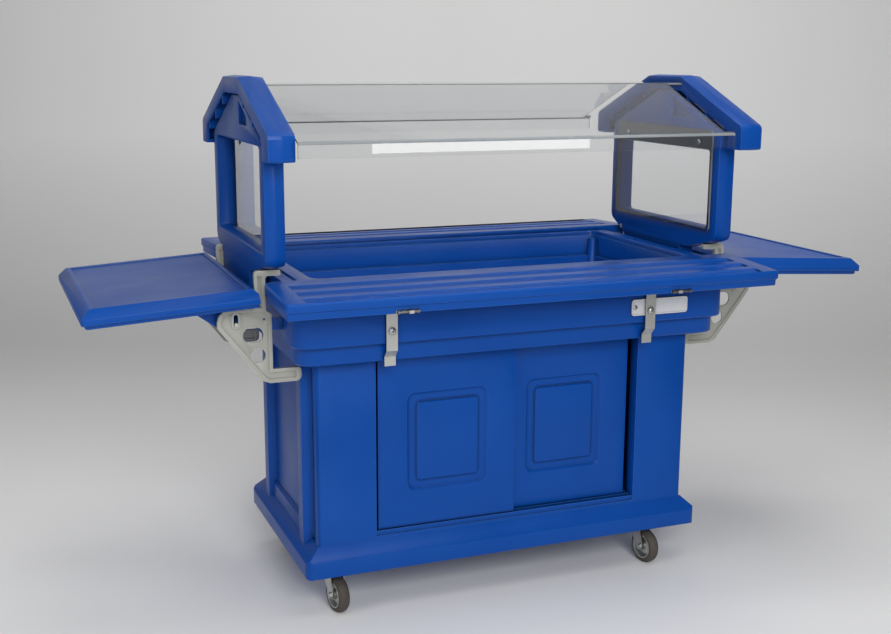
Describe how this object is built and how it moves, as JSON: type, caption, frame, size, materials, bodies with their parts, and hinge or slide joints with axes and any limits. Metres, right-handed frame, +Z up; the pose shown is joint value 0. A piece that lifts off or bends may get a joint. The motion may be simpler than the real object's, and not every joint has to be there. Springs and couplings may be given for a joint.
{
  "type": "mobile salad bar",
  "caption": "Moulded cart with a cold food well, clear canopy on two end frames, folding tray rails and end tables, sliding doors below and swivel casters.",
  "frame": {"origin": "on the floor, under the middle of the cart", "axes": "+X along the cart's length to the right seen from the door side, +Y to the back, +Z up"},
  "size_m": [2.256, 1.0636, 1.422],
  "materials": {
    "blue_plastic": "moulded, fine texture with a soft sheen",
    "clear_plastic": "clear polished sheet",
    "cast_metal": "light grey, satin",
    "zinc_steel": "zinc plated",
    "rubber_tyre": "dull brown-grey tread"
  },
  "bodies": {
    "cart": {"cabinet": "blue_plastic", "counter": "blue_plastic", "drain_fitting": "zinc_steel", "door_track_lower": "blue_plastic", "door_track_upper": "blue_plastic", "end_frame_left": "blue_plastic", "end_frame_right": "blue_plastic", "roof_cap_left": "blue_plastic", "roof_cap_right": "blue_plastic", "canopy": "clear_plastic", "side_pane_left": "clear_plastic", "side_pane_right": "clear_plastic", "end_bracket_front_left": "cast_metal", "end_bracket_front_right": "cast_metal", "end_bracket_back_left": "cast_metal", "end_bracket_back_right": "cast_metal", "rail_strap_front_left": "zinc_steel", "rail_strap_front_right": "zinc_steel", "rail_strap_back_left": "zinc_steel", "rail_strap_back_right": "zinc_steel", "strap_bolt_front_left": "zinc_steel", "strap_bolt_front_right": "zinc_steel", "strap_bolt_back_left": "zinc_steel", "strap_bolt_back_right": "zinc_steel", "caster_plate_front_left": "zinc_steel", "caster_plate_front_right": "zinc_steel", "caster_plate_back_left": "zinc_steel", "caster_plate_back_right": "zinc_steel"},
    "door_left": {"door_left": "blue_plastic"},
    "door_right": {"door_right": "blue_plastic"},
    "front_rail": {"tray_rail_front": "blue_plastic", "rail_arm_front_left": "zinc_steel", "rail_arm_front_right": "zinc_steel", "rail_cross_rod_front_left": "zinc_steel", "rail_cross_rod_front_right": "zinc_steel"},
    "back_rail": {"tray_rail_back": "blue_plastic", "rail_arm_back_left": "zinc_steel", "rail_arm_back_right": "zinc_steel", "rail_cross_rod_back_left": "zinc_steel", "rail_cross_rod_back_right": "zinc_steel"},
    "left_table": {"end_table_left": "blue_plastic", "table_rod_left": "zinc_steel"},
    "right_table": {"end_table_right": "blue_plastic", "table_rod_right": "zinc_steel"},
    "swivel_front_left": {"caster_fork_front_left": "zinc_steel", "caster_axle_front_left": "zinc_steel"},
    "wheel_front_left": {"caster_wheel_front_left": "rubber_tyre"},
    "swivel_front_right": {"caster_fork_front_right": "zinc_steel", "caster_axle_front_right": "zinc_steel"},
    "wheel_front_right": {"caster_wheel_front_right": "rubber_tyre"},
    "swivel_back_left": {"caster_fork_back_left": "zinc_steel", "caster_axle_back_left": "zinc_steel"},
    "wheel_back_left": {"caster_wheel_back_left": "rubber_tyre"},
    "swivel_back_right": {"caster_fork_back_right": "zinc_steel", "caster_axle_back_right": "zinc_steel"},
    "wheel_back_right": {"caster_wheel_back_right": "rubber_tyre"}
  },
  "joints": [
    {"name": "door_left_slide", "type": "slide", "parent": "cart", "child": "door_left", "axis": [1, 0, 0], "range_m": [0, 0.372]},
    {"name": "door_right_slide", "type": "slide", "parent": "cart", "child": "door_right", "axis": [-1, 0, 0], "range_m": [0, 0.364]},
    {"name": "front_rail_fold", "type": "hinge", "parent": "cart", "child": "front_rail", "pos_m": [0, -0.39, 0.862], "axis": [1, 0, 0], "range_deg": [0, 86]},
    {"name": "back_rail_fold", "type": "hinge", "parent": "cart", "child": "back_rail", "pos_m": [0, 0.39, 0.872], "axis": [-1, 0, 0], "range_deg": [0, 86]},
    {"name": "left_table_fold", "type": "hinge", "parent": "cart", "child": "left_table", "pos_m": [-0.745, 0, 0.808], "axis": [0, -1, 0], "range_deg": [0, 86]},
    {"name": "right_table_fold", "type": "hinge", "parent": "cart", "child": "right_table", "pos_m": [0.745, 0, 0.808], "axis": [0, 1, 0], "range_deg": [0, 86]},
    {"name": "swivel_front_left", "type": "hinge", "parent": "cart", "child": "swivel_front_left", "pos_m": [-0.502, -0.236, 0.112], "axis": [0, 0, 1], "continuous": true},
    {"name": "roll_front_left", "type": "hinge", "parent": "swivel_front_left", "child": "wheel_front_left", "pos_m": [-0.49606, -0.27151, 0.05], "axis": [0.9863, 0.165, 0], "continuous": true},
    {"name": "swivel_front_right", "type": "hinge", "parent": "cart", "child": "swivel_front_right", "pos_m": [0.45, -0.236, 0.112], "axis": [0, 0, 1], "continuous": true},
    {"name": "roll_front_right", "type": "hinge", "parent": "swivel_front_right", "child": "wheel_front_right", "pos_m": [0.45594, -0.27151, 0.05], "axis": [0.9863, 0.165, 0], "continuous": true},
    {"name": "swivel_back_left", "type": "hinge", "parent": "cart", "child": "swivel_back_left", "pos_m": [-0.502, 0.236, 0.112], "axis": [0, 0, 1], "continuous": true},
    {"name": "roll_back_left", "type": "hinge", "parent": "swivel_back_left", "child": "wheel_back_left", "pos_m": [-0.49606, 0.20049, 0.05], "axis": [0.9863, 0.165, 0], "continuous": true},
    {"name": "swivel_back_right", "type": "hinge", "parent": "cart", "child": "swivel_back_right", "pos_m": [0.45, 0.236, 0.112], "axis": [0, 0, 1], "continuous": true},
    {"name": "roll_back_right", "type": "hinge", "parent": "swivel_back_right", "child": "wheel_back_right", "pos_m": [0.45594, 0.20049, 0.05], "axis": [0.9863, 0.165, 0], "continuous": true}
  ]
}
